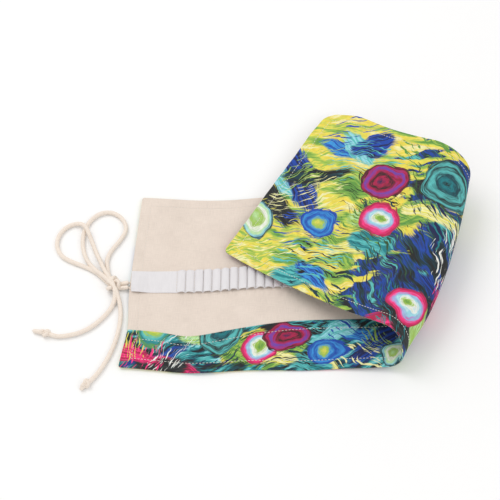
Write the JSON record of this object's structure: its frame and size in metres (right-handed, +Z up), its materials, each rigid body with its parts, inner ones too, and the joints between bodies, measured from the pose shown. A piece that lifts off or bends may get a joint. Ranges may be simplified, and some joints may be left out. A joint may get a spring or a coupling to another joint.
{
  "type": "brush roll case",
  "caption": "Cloth brush roll with a printed cover, a plain cotton lining and a band of elastic loops, folded back over itself, with a tied cord.",
  "frame": {"origin": "a point of the flat underside of the left part of the case, 100 mm back from its front edge and 110 mm from its left end", "axes": "+X along the strip from the tied end towards the fold, +Y from the front edge to the back edge, +Z up"},
  "size_m": [0.4248, 0.3274, 0.0628],
  "materials": {
    "printed_cover": "matt woven canvas with a painterly abstract print",
    "lining_cotton": "natural plain-weave cotton",
    "printed_facing": "matt woven canvas with a painterly abstract print",
    "white_elastic": "white ribbed elastic",
    "sewing_thread": "pale polyester thread",
    "cord_cotton": "natural braided cotton cord"
  },
  "bodies": {
    "base": {"cover_base": "printed_cover", "lining_base": "lining_cotton", "facing_base": "printed_facing", "elastic_base": "white_elastic", "loop_seams_base": "sewing_thread", "cord_anchor": "cord_cotton", "cord_a": "cord_cotton", "cord_b": "cord_cotton", "bow_knot": "cord_cotton", "end_knot_a": "cord_cotton", "end_knot_b": "cord_cotton"},
    "fold_1": {"cover_fold_1": "printed_cover", "lining_fold_1": "lining_cotton", "facing_fold_1": "printed_facing", "elastic_fold_1": "white_elastic", "loop_seams_fold_1": "sewing_thread"},
    "fold_2": {"cover_fold_2": "printed_cover", "lining_fold_2": "lining_cotton", "facing_fold_2": "printed_facing", "elastic_fold_2": "white_elastic", "loop_seams_fold_2": "sewing_thread"},
    "fold_3": {"cover_fold_3": "printed_cover", "lining_fold_3": "lining_cotton", "facing_fold_3": "printed_facing", "elastic_fold_3": "white_elastic", "loop_seams_fold_3": "sewing_thread"},
    "flap": {"cover_flap": "printed_cover", "lining_flap": "lining_cotton", "facing_flap": "printed_facing", "elastic_flap": "white_elastic", "loop_seams_flap": "sewing_thread"}
  },
  "joints": [
    {"name": "fold_bend_1", "type": "hinge", "parent": "base", "child": "fold_1", "pos_m": [0.18411, 0.00019, 0.00954], "axis": [0.3014, 0.9534, 0.0093], "range_deg": [0, 49.5]},
    {"name": "fold_bend_2", "type": "hinge", "parent": "fold_1", "child": "fold_2", "pos_m": [0.19676, 0.00322, 0.02798], "axis": [0.3115, 0.9499, 0.0269], "range_deg": [0, 49.5]},
    {"name": "fold_bend_3", "type": "hinge", "parent": "fold_2", "child": "fold_3", "pos_m": [0.19227, 0.01157, 0.04867], "axis": [0.3051, 0.9512, 0.0463], "range_deg": [0, 49.5]},
    {"name": "fold_bend_4", "type": "hinge", "parent": "fold_3", "child": "flap", "pos_m": [0.175, 0.02393, 0.05705], "axis": [0.2868, 0.9565, 0.0539], "range_deg": [0, 49.5]}
  ],
  "couplings": [
    {"joint": "fold_bend_2", "follows": "fold_bend_1", "ratio": 1},
    {"joint": "fold_bend_3", "follows": "fold_bend_1", "ratio": 1},
    {"joint": "fold_bend_4", "follows": "fold_bend_1", "ratio": 1}
  ]
}
